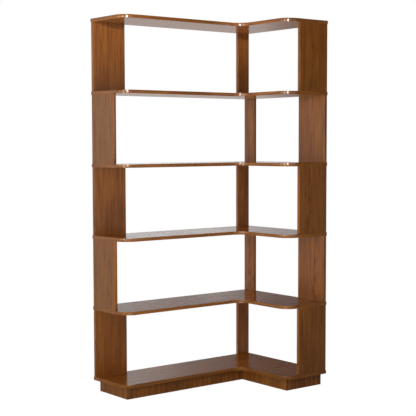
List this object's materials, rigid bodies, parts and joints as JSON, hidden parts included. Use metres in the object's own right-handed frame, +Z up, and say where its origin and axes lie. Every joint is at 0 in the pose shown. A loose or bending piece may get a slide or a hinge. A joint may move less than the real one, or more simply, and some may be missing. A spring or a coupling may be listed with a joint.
{
  "type": "l-shaped corner bookshelf",
  "caption": "Open L-shaped corner bookshelf: L-shaped walnut shelves with rounded front corners on staggered upright panels that turn from tier to tier, over a recessed plinth.",
  "frame": {"origin": "on the floor, under the middle of the bounding box", "axes": "+Z up; +X to the right along the long arm, towards the corner; +Y to the back, towards the long arm's wall; the short arm comes forward along -Y on the right"},
  "size_m": [1.095, 0.667, 2],
  "materials": {
    "walnut_veneer_shelf": "satin lacquered walnut veneer",
    "walnut_veneer_panel": "satin lacquered walnut veneer, upright grain",
    "walnut_veneer_plinth": "satin lacquered walnut veneer, upright grain",
    "walnut_edging": "satin lacquered solid walnut strip",
    "plain_board": "raw fibreboard",
    "softwood": "planed softwood",
    "beech": "fluted beech dowel",
    "zinc_plated_steel": "zinc plated",
    "die_cast_zinc": "die cast zinc"
  },
  "bodies": {
    "root": {"top_shelf": "walnut_veneer_shelf", "shelf_2": "walnut_veneer_shelf", "shelf_3": "walnut_veneer_shelf", "shelf_4": "walnut_veneer_shelf", "shelf_5": "walnut_veneer_shelf", "bottom_shelf": "walnut_veneer_shelf", "edging_1_top": "walnut_edging", "edging_2": "walnut_edging", "edging_3": "walnut_edging", "edging_4": "walnut_edging", "edging_5": "walnut_edging", "edging_6_bottom": "walnut_edging", "panel_1_left": "walnut_veneer_panel", "panel_1_corner": "walnut_veneer_panel", "panel_1_end": "walnut_veneer_panel", "panel_2_left": "walnut_veneer_panel", "panel_2_corner": "walnut_veneer_panel", "panel_2_end": "walnut_veneer_panel", "panel_3_left": "walnut_veneer_panel", "panel_3_corner": "walnut_veneer_panel", "panel_3_end": "walnut_veneer_panel", "panel_4_left": "walnut_veneer_panel", "panel_4_corner": "walnut_veneer_panel", "panel_4_end": "walnut_veneer_panel", "panel_5_left": "walnut_veneer_panel", "panel_5_corner": "walnut_veneer_panel", "panel_5_end": "walnut_veneer_panel", "panel_edging_1": "walnut_edging", "panel_edging_2": "walnut_edging", "panel_edging_3": "walnut_edging", "panel_edging_4": "walnut_edging", "panel_edging_5": "walnut_edging", "plinth_front_long": "walnut_veneer_plinth", "plinth_front_short": "walnut_veneer_plinth", "plinth_end_long": "walnut_veneer_plinth", "plinth_end_short": "walnut_veneer_plinth", "plinth_back_long": "walnut_veneer_plinth", "plinth_back_short": "walnut_veneer_plinth", "plinth_stretcher_middle": "plain_board", "plinth_stretcher_corner": "plain_board", "plinth_blocks": "softwood", "plinth_screws": "zinc_plated_steel", "cam_bolts": "zinc_plated_steel", "dowels": "beech", "cams": "die_cast_zinc"}
  },
  "joints": []
}
